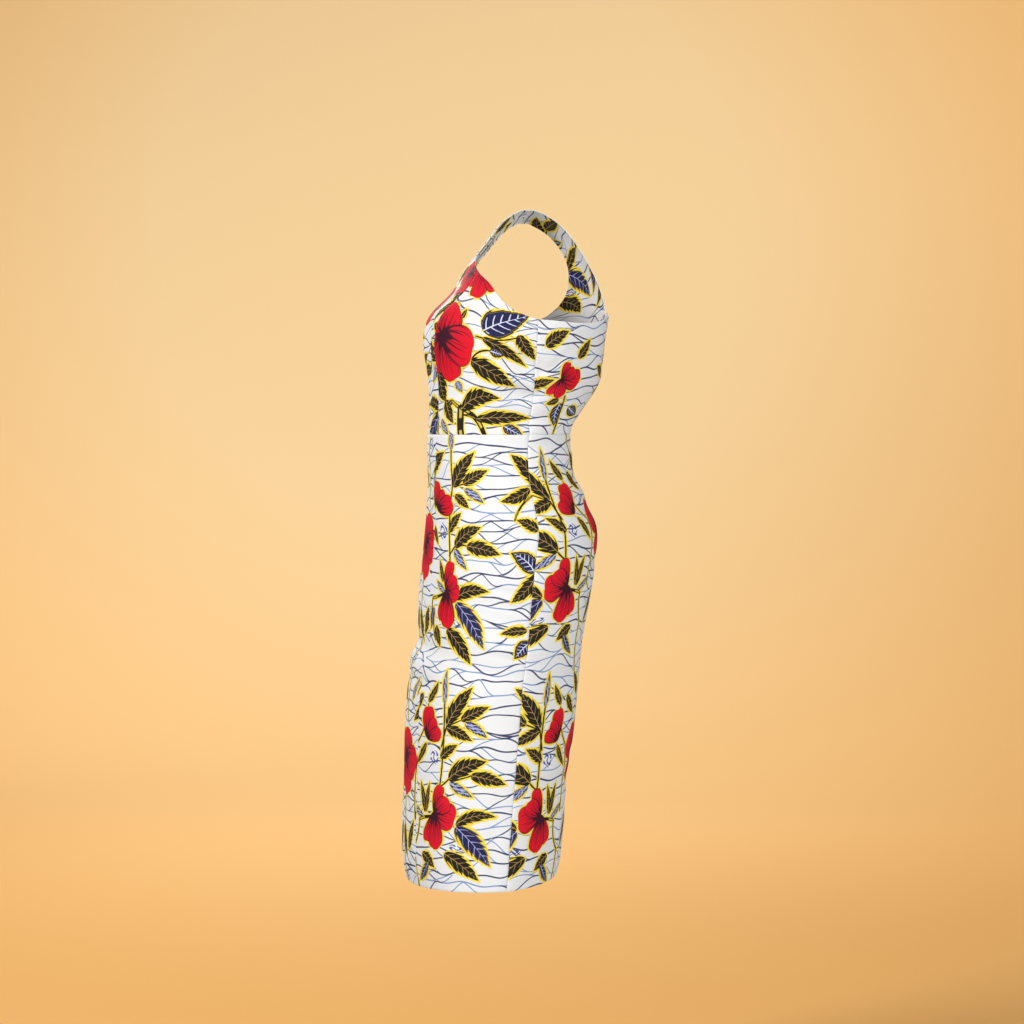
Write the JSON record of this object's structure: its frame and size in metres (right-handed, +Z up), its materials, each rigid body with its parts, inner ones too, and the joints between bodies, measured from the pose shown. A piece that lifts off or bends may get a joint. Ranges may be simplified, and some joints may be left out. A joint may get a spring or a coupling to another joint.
{
  "type": "one-shoulder dress",
  "caption": "Fitted asymmetric dress in flower and leaf wax print, carried on the right shoulder, with princess seams, a waist seam, a straight skirt and a concealed back zip.",
  "frame": {"origin": "inside of the cloth at the middle of the right shoulder seam, where the wearer's shoulder carries the dress", "axes": "+Z up along the wearer, -Y to the wearer's front, +X to the wearer's left"},
  "size_m": [0.3489, 0.3319, 1.0749],
  "materials": {
    "print_cotton": "plain-woven wax print cotton, off-white ground with crimson, navy, brown-black and yellow print",
    "zip_tape": "woven polyester zip tape and nylon coil",
    "nickel": "satin nickel plate"
  },
  "bodies": {
    "dress": {"bodice_centre_front": "print_cotton", "bodice_side_front_left": "print_cotton", "bodice_side_front_right": "print_cotton", "bodice_back_left": "print_cotton", "bodice_back_right": "print_cotton", "skirt_centre_front": "print_cotton", "skirt_side_front_left": "print_cotton", "skirt_side_front_right": "print_cotton", "skirt_back_left": "print_cotton", "skirt_back_right": "print_cotton", "zip_tape_left": "zip_tape", "zip_tape_right": "zip_tape", "zip_chain": "zip_tape", "zip_slider": "nickel"},
    "zip_pull": {"zip_pull": "nickel"}
  },
  "joints": [
    {"name": "pull_swing", "type": "hinge", "parent": "dress", "child": "zip_pull", "pos_m": [0.104, 0.11691, -0.16414], "axis": [1, 0, 0], "range_deg": [0, 150]}
  ]
}
